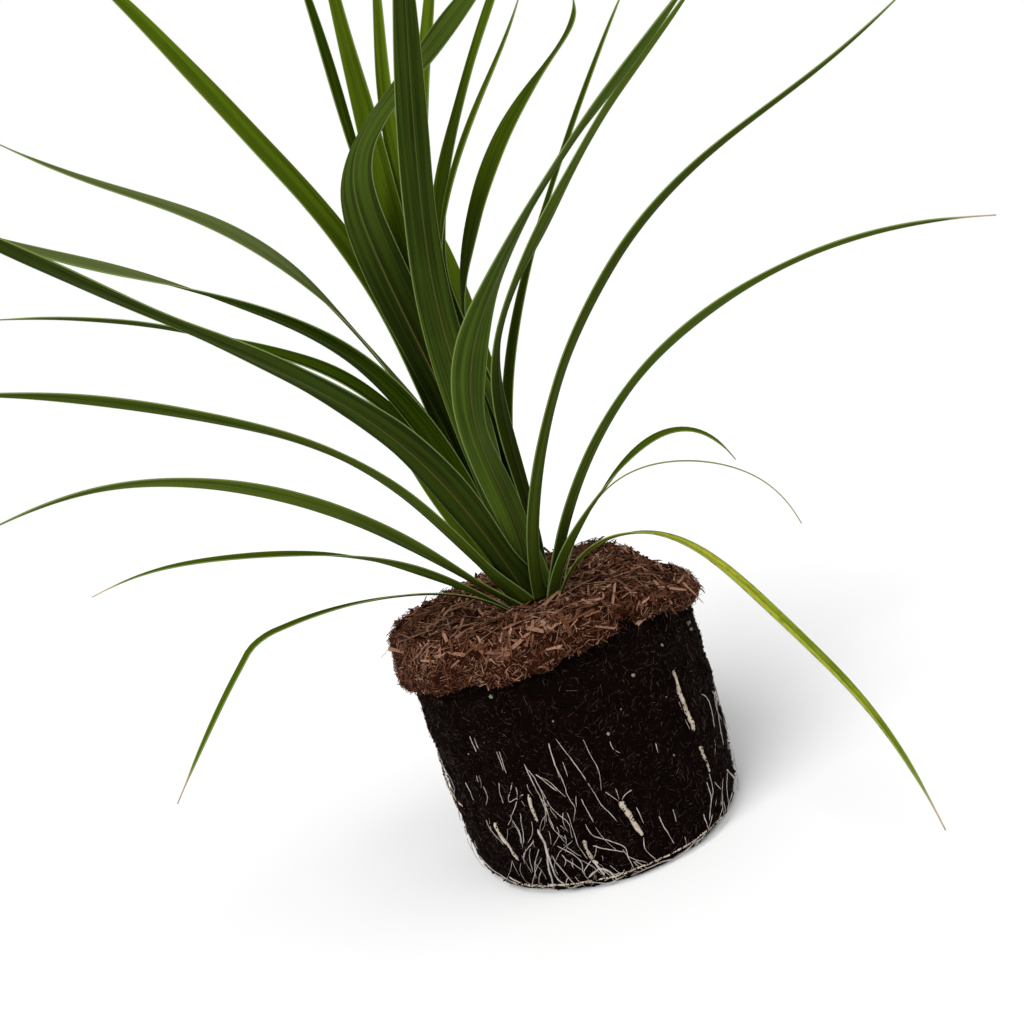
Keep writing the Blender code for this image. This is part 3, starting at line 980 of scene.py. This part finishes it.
class BuildMulch(bpy.types.Operator):
    """Makes the lumpy bed of mulch and covers it with bark chips and shredded fibres"""

    bl_idname = "cordyline.build_mulch"
    bl_label = "Mulch"

    def execute(self, context):
        settings = context.scene.cordyline_mulch
        values = bark_values(settings.middle, settings.dark, settings.pale)
        bark = finish_material("shredded_bark", bark_group(), values, 0.3 * MM, 0.03)
        bed = mulch_bed(settings)
        chips = self.chips(bed, settings)
        fibres = self.fibres(bed, settings)
        tone = bed.verts.layers.float.new("tone")
        for vert in bed.verts:
            vert[tone] = 0.0
        show(to_mesh(bed, "mulch_bed"), "mulch_layer", "mulch", bark)
        show(chips, None, "mulch", bark)
        show(fibres, None, "mulch", bark)
        return {"FINISHED"}

    def chips(self, bed, settings):
        """Chips lie on the top and over the rim, with large flakes and long dry strands among them."""
        rng = random.Random(SEED + 1)
        heap = Heap("bark_chips")
        shape = sliver_shape("chip_shape", 5, 1)
        for place, normal in spread(bed, settings.chips, rng, lambda face: face.normal.z > CHIP_FACING):
            if place.to_2d().length < CROWN_RADIUS:
                continue
            length = lognormal(rng, settings.chip_length, 0.46, 0.35, 2.6)
            width = min(lognormal(rng, 0.19 * length, 0.40, 0.4, 2.4), WIDEST_CHIP)
            size = (width, rng.uniform(0.16, 0.34) * width, length)
            placing = lying(place + normal * rng.uniform(-0.5, 1.3) * MM, normal, rng, 0.18)
            tone = drifting_tone_and_crevice_shade(place, rng, 0.53, 0.29)
            add_sliver(heap, shape, placing, size, rng, tone, rng.gauss(0, 0.12))
        for x, y, turn, length, width, tone in FLAKES:
            spot = Vector((x, y)) * MM
            near = (vert for vert in bed.verts if (vert.co.to_2d() - spot).length < FLAKE_REACH)
            top = max(near, key=lambda vert: vert.co.z)
            placing = lying_along(top.co + top.normal * ON_TOP * MM, top.normal, radians(turn))
            size = (width * MM, FLAKE_THICKNESS, length * MM)
            add_sliver(heap, shape, placing, size, rng, tone, 0.06)
        shape = sliver_shape("strand_shape", 4, 5)
        for place, normal in spread(bed, settings.strands, rng, lambda face: face.normal.z > TOP_FACING):
            if place.to_2d().length < CROWN_RADIUS:
                continue
            size = (rng.uniform(0.5, 1.1) * MM, 0.3 * MM, rng.uniform(9, 20) * MM)
            placing = lying(place + normal * ON_TOP * MM, normal, rng, 0.04)
            tone = drifting_tone_and_crevice_shade(place, rng, 0.75, 0.12)
            add_sliver(heap, shape, placing, size, rng, tone, rng.gauss(0, 0.15))
        return heap.finished()

    def fibres(self, bed, settings):
        """Fibres mat the outside of the ring and fill between the chips."""
        rng = random.Random(SEED + 2)
        heap = Heap("bark_fibres")
        shape = sliver_shape("fibre_shape", 3, 0)
        for place, normal in spread(bed, settings.fibres, rng, lambda face: face.normal.z < FIBRE_FACING):
            if place.to_2d().length < 0.5 * MULCH_RADIUS:
                continue
            length = lognormal(rng, settings.fibre_length, 0.42, 0.4, 2.6)
            width = rng.uniform(0.22, 0.62) * MM
            size = (width, 0.6 * width, length)
            placing = lying(place + normal * rng.uniform(-0.5, 0.8) * MM, normal, rng, 0.40)
            tone = drifting_tone_and_crevice_shade(place, rng, 0.59, 0.25)
            add_sliver(heap, shape, placing, size, rng, tone)
        return heap.finished()


# The peat goes on up inside the bed's raised edge.
PEAT_COLLAR = 14.0 * MM
# Pale grains on the side: azimuth in degrees, height and width in mm.
SPECKS = (
    (294, 76, 1.7), (279, 59, 1.5), (243, 84, 1.9), (310, 81, 1.3), (331, 81, 2.4), (332, 78, 1.6),
    (262, 70, 0.9), (301, 40, 0.9), (224, 61, 0.8), (286, 66, 0.8), (305, 62, 0.7),
)


SIDE_INSET = 1.5 * MM
SIDE_FLARE = 1.0 * MM
FOOT_NARROWING = 3.5 * MM
FOOT_HEIGHT = 4.0 * MM
PEAT_LUMP_LENGTH = 12.0 * MM
GRAIN_SPACING = 1.9 * MM
GRAIN_HEIGHT = 0.7 * MM
HAIR_LENGTH = 1.6 * MM
LOWEST_HAIR = 3.0 * MM


def side_radius(height):
    """The peat's radius at a height, where it narrows towards its foot."""
    flare = SIDE_FLARE * min(height / SOIL_HIGH.z, 1.0)
    return SOIL_RADIUS - SIDE_INSET + flare - FOOT_NARROWING * exp(-height / FOOT_HEIGHT)


def peat_line(place):
    """The height at which the peat meets the bed, beside a place."""
    azimuth = degrees(atan2(place.y, place.x))
    return SOIL_HIGH.z + min((around(EDGE_RISE, azimuth) + 1.0) * MM, PEAT_COLLAR)


class BuildPeat(bpy.types.Operator):
    """Makes the granular peat ball with loose crumbs and short plant hairs"""

    bl_idname = "cordyline.build_peat"
    bl_label = "Peat"

    ROUND_STEPS = 380
    DETAIL = 0.9 * MM

    def execute(self, context):
        settings = context.scene.cordyline_peat
        values = {"Light": rgba(settings.light), "Dark": rgba(settings.dark)}
        peat = finish_material("moist_peat", peat_group(), values, 0.8 * MM, 0.02)
        ball = self.ball(settings)
        crumbs = self.crumbs(ball, settings)
        hairs = self.hairs(ball, settings)
        specks = self.specks()
        show(to_mesh(ball, "peat_ball"), "root_ball", "peat", peat)
        show(crumbs, None, "peat", peat)
        bark = bpy.data.node_groups["Bark Surface"]
        values = bark_values(settings.hair, settings.light, tinted(settings.hair, 2.5))
        show(hairs, None, "peat", finish_material("peat_hair", bark, values, 0.2 * MM, 0.03))
        values = bark_values(settings.speck, tinted(settings.speck, 0.5), tinted(settings.speck, 1.6))
        show(specks, None, "peat", finish_material("pale_speck", bark, values, 0.2 * MM, 0.10))
        return {"FINISHED"}

    def ball(self, settings):
        """The side, underside and collar, roughened outwards and inwards but never below the floor."""
        side = sorted((p for p in outline("root_ball") if p.x > 0.5 * SOIL_RADIUS), key=lambda p: p.y)
        collar = Vector((SOIL_RADIUS - 0.3 * MM, SOIL_HIGH.z + PEAT_COLLAR))
        profile = [Vector((0.0, 0.0))] + side + [collar, Vector((0.0, collar.y))]
        bm = turned_shell(profile, self.DETAIL, self.ROUND_STEPS, False)
        for vert in bm.verts:
            spot = vert.co.copy()
            lump = noise.fractal(spot / PEAT_LUMP_LENGTH, 0.9, 2.2, 3) * settings.lump
            grains = noise.voronoi(spot / GRAIN_SPACING)[0][0] * GRAIN_HEIGHT
            moved = spot + vert.normal * (lump - grains)
            vert.co = Vector((moved.x, moved.y, max(moved.z, SOIL_LOW.z)))
            above = spot.z - SOIL_HIGH.z
            if above > 0:
                vert.co.z -= above * (1.0 - (peat_line(spot) - SOIL_HIGH.z) / PEAT_COLLAR)
        bm.normal_update()
        return bm

    def crumbs(self, ball, settings):
        rng = random.Random(SEED + 3)
        heap = Heap("peat_crumbs")
        shape = crumb_shape()
        for place, normal in spread(ball, settings.crumbs, rng, lambda face: face.normal.z > -0.5):
            if normal.z > 0.7 or place.z > peat_line(place):
                continue
            width = lognormal(rng, settings.crumb_size, 0.42, 0.3, 2.2)
            add_crumb(heap, shape, place - normal * 0.05 * width, width, rng)
        return heap.finished()

    def hairs(self, ball, settings):
        rng = random.Random(SEED + 4)
        heap = Heap("peat_hairs")
        shape = sliver_shape("hair_shape", 3, 0)
        for place, normal in spread(ball, settings.hairs, rng, lambda face: abs(face.normal.z) < 0.7):
            if not LOWEST_HAIR < place.z < peat_line(place):
                continue
            length = lognormal(rng, HAIR_LENGTH, 0.45, 0.4, 3.0)
            width = rng.uniform(0.08, 0.20) * MM
            placing = lying(place + normal * rng.uniform(0.0, 0.5) * MM, normal, rng, 0.22, 0.7)
            tone = min(max(rng.gauss(0.38, 0.28), 0.0), 1.0)
            add_sliver(heap, shape, placing, (width, width, length), rng, tone)
        return heap.finished()

    def specks(self):
        """A few pale green grains on the front of the side."""
        rng = random.Random(SEED + 6)
        heap = Heap("pale_specks")
        shape = crumb_shape()
        for azimuth, height, width in SPECKS:
            middle = ball_point(azimuth, side_radius(height * MM) + 0.7 * MM, height * MM)
            for vert in heap.add(shape):
                vert.co = middle + vert.co * width * MM * rng.uniform(0.7, 1.2)
                vert[heap.tone] = rng.uniform(0.2, 0.8)
        return heap.finished()


# ---------------------------------------------------------------- roots

# Radius of each thick root near its top and near its lower end, in mm.
THICK_RADII = {
    "root_right_upper": (0.50, 0.95),
    "root_right_lower": (0.75, 0.35),
    "root_front_thick": (1.10, 0.70),
    "root_front_left": (0.75, 0.45),
    "root_front_middle": (0.65, 0.40),
    "root_front_low": (0.80, 0.60),
    "root_left_strand": (0.42, 0.32),
    "root_base_loop": (0.30, 0.30),
}

# Fine roots on the front: (azimuth in degrees, height in mm) at their points, from the top down.
FRONT_ROOTS = (
    ((261, 63), (264, 54), (266, 48), (268, 40), (269, 35), (271, 30), (273, 25)),
    ((270, 60), (271, 52), (272, 47), (271, 39)),
    ((258, 62), (258, 54), (259, 46), (259, 40), (260, 35), (258, 30)),
    ((261, 54), (261, 48)),
    ((279, 56), (279, 53), (281, 50)),
    ((295, 48), (295, 44)),
    ((326, 53), (331, 47), (329, 37)),
    ((316, 24), (315, 17), (311, 12)),
    ((313, 22), (313, 15), (309, 8)),
    ((263, 38), (264, 33), (265, 28)),
    ((281, 28), (282, 21)),
    ((288, 21), (289, 15), (291, 8)),
    ((307, 12), (308, 5)),
    ((294, 21), (294, 16)),
    ((262, 28), (264, 22), (272, 16), (273, 10), (274, 3)),
    ((262, 19), (267, 16), (272, 13)),
    ((257, 34), (257, 28), (257, 20), (259, 14)),
    ((251, 50), (255, 46), (258, 40)),
    ((250, 45), (252, 37), (256, 30), (256, 24)),
    ((280, 16), (280, 11), (282, 6), (284, 2)),
    ((296, 8), (296, 3)),
    ((228, 69), (228, 62)),
    ((230, 68), (230, 63)),
    ((238, 62), (238, 54)),
    ((239, 62), (239, 53)),
    ((226, 47), (226, 43), (224, 39)),
    ((216, 48), (217, 40)),
    ((224, 52), (224, 49)),
    ((234, 49), (233, 40)),
    ((240, 49), (236, 41), (241, 43), (243, 44)),
    ((241, 47), (240, 43), (235, 35)),
    ((247, 56), (248, 49), (249, 42), (250, 34)),
    ((247, 54), (249, 50), (250, 42), (248, 30)),
    ((250, 51), (253, 47), (256, 43)),
    ((258, 62), (258, 55), (258, 48)),
    ((249, 42), (251, 37), (253, 32)),
    ((235, 33), (236, 28), (235, 21)),
    ((239, 36), (238, 31), (236, 23)),
    ((223, 33), (222, 28)),
    ((241, 24), (235, 19), (233, 14)),
    ((242, 21), (238, 14), (236, 8)),
    ((250, 39), (250, 28)),
    ((272, 38), (274, 35), (276, 32)),
    ((276, 38), (276, 33)),
    ((281, 35), (278, 34), (276, 31)),
    ((310, 60), (311, 52), (312, 45)),
    ((246, 18), (248, 12), (250, 7), (251, 2)),
    ((260, 13), (256, 9), (257, 4)),
    ((275, 8), (279, 2)),
    ((221, 32), (222, 27), (226, 22)),
)
# In the same way, stouter roots low on the front, and the ragged strands that run round the foot.
STOUT_ROOTS = (
    ((245, 23), (244, 16), (243, 9), (242, 3)),
    ((244, 29), (245, 24), (245, 18), (245, 9), (247, 3)),
    ((260, 14), (262, 9), (263, 6)),
    ((257, 6), (262, 9), (265, 7), (267, 2)),
    ((330, 18), (333, 14), (336, 10)),
)
FOOT_STRANDS = (
    ((222, 7), (229, 4), (236, 5)),
    ((236, 3), (243, 5), (250, 2)),
    ((248, 2), (256, 4), (263, 2), (270, 3)),
    ((262, 3), (268, 5), (276, 2)),
    ((272, 2), (282, 3), (290, 1)),
    ((284, 3), (292, 1), (300, 3), (306, 2)),
    ((300, 2), (309, 4), (318, 4)),
    ((314, 3), (322, 5), (330, 8)),
    ((205, 12), (214, 7), (224, 4)),
)
# Between these azimuths the front is left to the roots above and to thickets of finer ones. A thicket has
# the azimuth and height of its middle, the spread of both, and its number of roots.
CLEAR_FRONT = (208, 338)
THICKETS = ((246, 24, 9, 11, 46), (262, 10, 8, 5, 16), (320, 16, 7, 7, 10))
THICK_SPACING = 0.8 * MM
THICK_SWAY = 0.5 * MM
THICK_SIDES = 3
FINE_SPACING = 0.8 * MM
FINE_SWAY = 0.45 * MM
FINE_SIDES = 1
# Fine roots stand this far off the peat, so that its crumbs don't bury them.
FINE_STAND = 0.55 * MM
# Crumbs at each point of a thick root.
CLINGING_CRUMBS = 2
BEND_LENGTH = 6.0 * MM
KINK_LENGTH = 1.8 * MM
SWELL_LENGTH = 3.0 * MM
KNOT_LENGTH = 1.1 * MM


def ring_middles(node, order):
    """The middles of a tube node's rings, in the order of a measure along it."""
    bm = merged_copy(node)
    points = sorted((vert.co.copy() for vert in bm.verts), key=order)
    bm.free()
    rings = [points[i:i + ROOT_SIDES] for i in range(0, len(points), ROOT_SIDES)]
    return [sum(ring, Vector()) / ROOT_SIDES for ring in rings]


def tube_curve(name, routes, sides):
    """A curve with a round spline for each route of (place, radius) points."""
    curve = bpy.data.curves.new(name, "CURVE")
    curve.dimensions = "3D"
    curve.bevel_depth = 1.0
    curve.bevel_resolution = sides
    curve.use_fill_caps = True
    for route in routes:
        spline = curve.splines.new("POLY")
        spline.points.add(len(route) - 1)
        for point, (place, radius) in zip(spline.points, route):
            point.co = (*place, 1.0)
            point.radius = radius
    return curve


def wandering(stations, radii, rng, spacing, sway):
    """A route with small bends and kinks, whose uneven radius eases from one value to another."""
    length = sum((b - a).length for a, b in zip(stations, stations[1:]))
    steps = max(round(length / spacing), 3)
    seed = Vector((rng.uniform(0, 50), rng.uniform(0, 50), rng.uniform(0, 50)))
    top, low = radii
    route = []
    for i in range(steps + 1):
        share = i / steps
        place = along(stations, share)
        bend = noise.noise_vector(place / BEND_LENGTH + seed) * sway
        kink = noise.noise_vector(place / KINK_LENGTH + seed) * 0.35 * sway
        swell = 0.38 * noise.noise(place / SWELL_LENGTH + seed)
        knot = 0.34 * noise.noise(place / KNOT_LENGTH + seed)
        ends = smooth_step(0.0, 0.08, share) * (1.0 - smooth_step(0.90, 1.0, share))
        radius = (top + (low - top) * share) * (1.0 + swell + knot) * (0.3 + 0.7 * ends)
        route.append((place + bend + kink, radius))
    return route


class BuildRoots(bpy.types.Operator):
    """Makes the thick cream roots on the frame's roots, and fine roots round the ball"""

    bl_idname = "cordyline.build_roots"
    bl_label = "Roots"

    def execute(self, context):
        settings = context.scene.cordyline_roots
        group = root_group()
        values = {"Cream": rgba(settings.cream), "Stain": rgba(settings.stain), "Staining": 0.70}
        thick = finish_material("thick_root_skin", group, values, 0.4 * MM, 0.15)
        values = {"Cream": rgba(settings.grey), "Stain": rgba(settings.stain), "Staining": 0.75}
        fine = finish_material("fine_root_skin", group, values, 0.1 * MM, 0.15)
        rng = random.Random(SEED + 5)
        clinging = Heap("clinging_crumbs")
        for node in sorted(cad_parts):
            if node.startswith("root_") and node != "root_ball":
                self.cling(self.thick_root(node, thick, rng), clinging, rng)
        show(clinging.finished(), None, "peat", bpy.data.materials["moist_peat"])
        self.fine_roots(settings, fine, rng)
        return {"FINISHED"}

    def cling(self, route, heap, rng):
        """Crumbs of peat that stick to a root, all round it."""
        shape = crumb_shape()
        for place, radius in route:
            for _ in range(CLINGING_CRUMBS):
                away = Vector((rng.gauss(0, 1), rng.gauss(0, 1), rng.gauss(0, 1))).normalized()
                width = rng.uniform(0.35, 0.95) * MM
                add_crumb(heap, shape, place + away * radius * 1.05, width, rng)

    def thick_root(self, node, material, rng):
        if node == "root_base_loop":
            middles = ring_middles(node, lambda p: round(atan2(p.y, p.x), 3))
        else:
            middles = ring_middles(node, lambda p: -p.z)
        radii = tuple(radius * MM for radius in THICK_RADII[node])
        route = wandering(middles, radii, rng, THICK_SPACING, THICK_SWAY)
        show(tube_curve("thick_" + node, [route], THICK_SIDES), node, "root", material)
        return route

    def fine_roots(self, settings, material, rng):
        fine = settings.fine_radius
        front = [self.placed(spots, fine, rng) for spots in FRONT_ROOTS]
        front += [self.placed(spots, 2.2 * fine, rng) for spots in STOUT_ROOTS]
        front += [self.placed(spots, 1.3 * fine, rng) for spots in FOOT_STRANDS]
        for azimuth, height, turn, rise, count in THICKETS:
            for _ in range(count):
                top = min(max(rng.gauss(height, rise), 6.0), 52.0)
                front.append(self.running_down(rng.gauss(azimuth, turn), top, 0.8 * fine, rng))
        round_about = [self.stray(fine, rng) for _ in range(settings.scattered)]
        show(tube_curve("fine_roots_front", front, FINE_SIDES), None, "root", material)
        show(tube_curve("fine_roots_round", round_about, FINE_SIDES), None, "root", material)

    def placed(self, spots, radius, rng):
        """A root through (azimuth, height in mm) spots on the side."""
        places = []
        for azimuth, height in spots:
            places.append(ball_point(azimuth, side_radius(height * MM) + FINE_STAND, height * MM))
        radius *= rng.uniform(0.75, 1.2)
        return wandering(places, (radius, 0.75 * radius), rng, FINE_SPACING, FINE_SWAY)

    def stray(self, radius, rng):
        """A root somewhere round the ball that mostly runs down its side, away from the front."""
        start, end = CLEAR_FRONT
        return self.running_down(rng.uniform(end, start + 360), rng.triangular(6, 68, 20), radius, rng)

    def running_down(self, azimuth, top, radius, rng):
        """A root that starts at an azimuth and a height in mm and mostly runs down the side."""
        reach = min(lognormal(rng, 7.0, 0.6, 0.3, 3.5), top - 2)
        lean = rng.gauss(0, 0.5) * reach
        bow = rng.gauss(0, 0.12) * reach
        spots = []
        for share in (0.0, 0.33, 0.67, 1.0):
            spots.append((azimuth + lean * share + bow * sin(pi * share), top - reach * share))
        return self.placed(spots, radius * rng.uniform(0.5, 1.1), rng)


# ---------------------------------------------------------------- stem


class BuildStem(bpy.types.Operator):
    """Gives the short stem inside the crown its skin"""

    bl_idname = "cordyline.build_stem"
    bl_label = "Stem"

    def execute(self, context):
        settings = context.scene.cordyline_blades
        values = {"Light": rgba(settings.light), "Dark": rgba(settings.deep)}
        skin = finish_material("stem_skin", bpy.data.node_groups["Peat Surface"], values, 0.3 * MM, 0.05)
        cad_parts["stem"].material_slots[0].material = skin
        return {"FINISHED"}


# ---------------------------------------------------------------- stage

FLOOR_RADIUS = 8.0
# Where each light shines from, how wide it is in degrees, and its share of the key light's strength.
KEY_LIGHT = ((-0.6, -1.0, 1.3), 40.0, 1.0)
FILL_LIGHT = ((1.0, -0.5, 0.7), 60.0, 0.3)


class BuildStage(bpy.types.Operator):
    """Sets up the plain floor, soft lights and the camera"""

    bl_idname = "cordyline.build_stage"
    bl_label = "Stage"

    def execute(self, context):
        settings = context.scene.cordyline_stage
        scene = context.scene
        self.floor(settings)
        self.world(scene, settings)
        self.soft_light("key_light", *KEY_LIGHT, settings.key)
        self.soft_light("fill_light", *FILL_LIGHT, settings.key)
        self.camera(scene, settings)
        scene.view_settings.view_transform = "Standard"
        return {"FINISHED"}

    def floor(self, settings):
        material = bpy.data.materials.new("plain_floor")
        material.use_nodes = True
        tree = material.node_tree
        place = put(tree, "ShaderNodeTexCoord").outputs["Object"]
        soft = grain(tree, place, 3.0)
        tone = mixed(tree, soft, rgba(settings.floor), rgba(tinted(settings.floor, 1.02)))
        shader = tree.nodes["Principled BSDF"]
        tree.links.new(tone, shader.inputs["Base Color"])
        shader.inputs["Roughness"].default_value = 0.9
        shader.inputs["Specular IOR Level"].default_value = 0.0
        bm = bmesh.new()
        bmesh.ops.create_circle(bm, cap_ends=True, segments=96, radius=FLOOR_RADIUS)
        mesh = to_mesh(bm, "floor")
        mesh.materials.append(material)
        floor = bpy.data.objects.new("floor", mesh)
        bpy.context.scene.collection.objects.link(floor)

    def world(self, scene, settings):
        world = bpy.data.worlds.new("studio")
        world.use_nodes = True
        tree = world.node_tree
        seen = put(tree, "ShaderNodeLightPath").outputs["Is Camera Ray"]
        strength = put(tree, "ShaderNodeMapRange", {"Value": seen, "To Min": settings.sky, "To Max": 1.0})
        background = tree.nodes["Background"]
        background.inputs["Color"].default_value = (1.0, 1.0, 1.0, 1.0)
        tree.links.new(strength.outputs[0], background.inputs["Strength"])
        scene.world = world

    def soft_light(self, name, place, spread_deg, share, strength):
        """A distant light as wide in the sky as a soft box, shining from a place towards the origin."""
        data = bpy.data.lights.new(name, "SUN")
        data.angle = radians(spread_deg)
        data.energy = strength * share
        lamp = bpy.data.objects.new(name, data)
        lamp.location = place
        lamp.rotation_mode = "QUATERNION"
        lamp.rotation_quaternion = (-Vector(place)).to_track_quat("-Z", "Y")
        bpy.context.scene.collection.objects.link(lamp)

    def camera(self, scene, settings):
        data = bpy.data.cameras.new("camera")
        data.lens = settings.lens
        data.clip_start = 0.01
        view = Vector((0.0, cos(settings.pitch), sin(settings.pitch)))
        level = Vector((1.0, 0.0, 0.0))
        upright = level.cross(view)
        right = level * cos(settings.roll) + upright * sin(settings.roll)
        upwards = upright * cos(settings.roll) - level * sin(settings.roll)
        camera = bpy.data.objects.new("camera", data)
        turn = Matrix((right, upwards, -view)).transposed()
        camera.matrix_world = Matrix.Translation((0.0, -settings.distance, settings.height)) @ turn.to_4x4()
        scene.collection.objects.link(camera)
        scene.camera = camera


# ---------------------------------------------------------------- panel and registration

PIECE_OPERATORS = (BuildBlades, BuildMulch, BuildPeat, BuildRoots, BuildStem, BuildStage)
SETTINGS = {
    "cordyline_blades": BladeSettings,
    "cordyline_mulch": MulchSettings,
    "cordyline_peat": PeatSettings,
    "cordyline_roots": RootSettings,
    "cordyline_stage": StageSettings,
}


class CordylinePanel(bpy.types.Panel):
    bl_idname = "VIEW3D_PT_cordyline"
    bl_label = "Cordyline"
    bl_space_type = "VIEW_3D"
    bl_region_type = "UI"
    bl_category = "Cordyline"

    def draw(self, context):
        layout = self.layout
        for operator in PIECE_OPERATORS:
            layout.operator(operator.bl_idname)
        for name, group in SETTINGS.items():
            box = layout.box()
            for key in group.__annotations__:
                box.prop(getattr(context.scene, name), key)


def register():
    for group in SETTINGS.values():
        bpy.utils.register_class(group)
    for operator in PIECE_OPERATORS:
        bpy.utils.register_class(operator)
    bpy.utils.register_class(CordylinePanel)
    for name, group in SETTINGS.items():
        setattr(bpy.types.Scene, name, PointerProperty(type=group))


def unregister():
    for name in SETTINGS:
        delattr(bpy.types.Scene, name)
    bpy.utils.unregister_class(CordylinePanel)
    for operator in reversed(PIECE_OPERATORS):
        bpy.utils.unregister_class(operator)
    for group in SETTINGS.values():
        bpy.utils.unregister_class(group)


def main():
    register()
    bpy.ops.cordyline.build_blades()
    bpy.ops.cordyline.build_mulch()
    bpy.ops.cordyline.build_peat()
    bpy.ops.cordyline.build_roots()
    bpy.ops.cordyline.build_stem()
    bpy.ops.cordyline.build_stage()


if __name__ == "__main__":
    main()
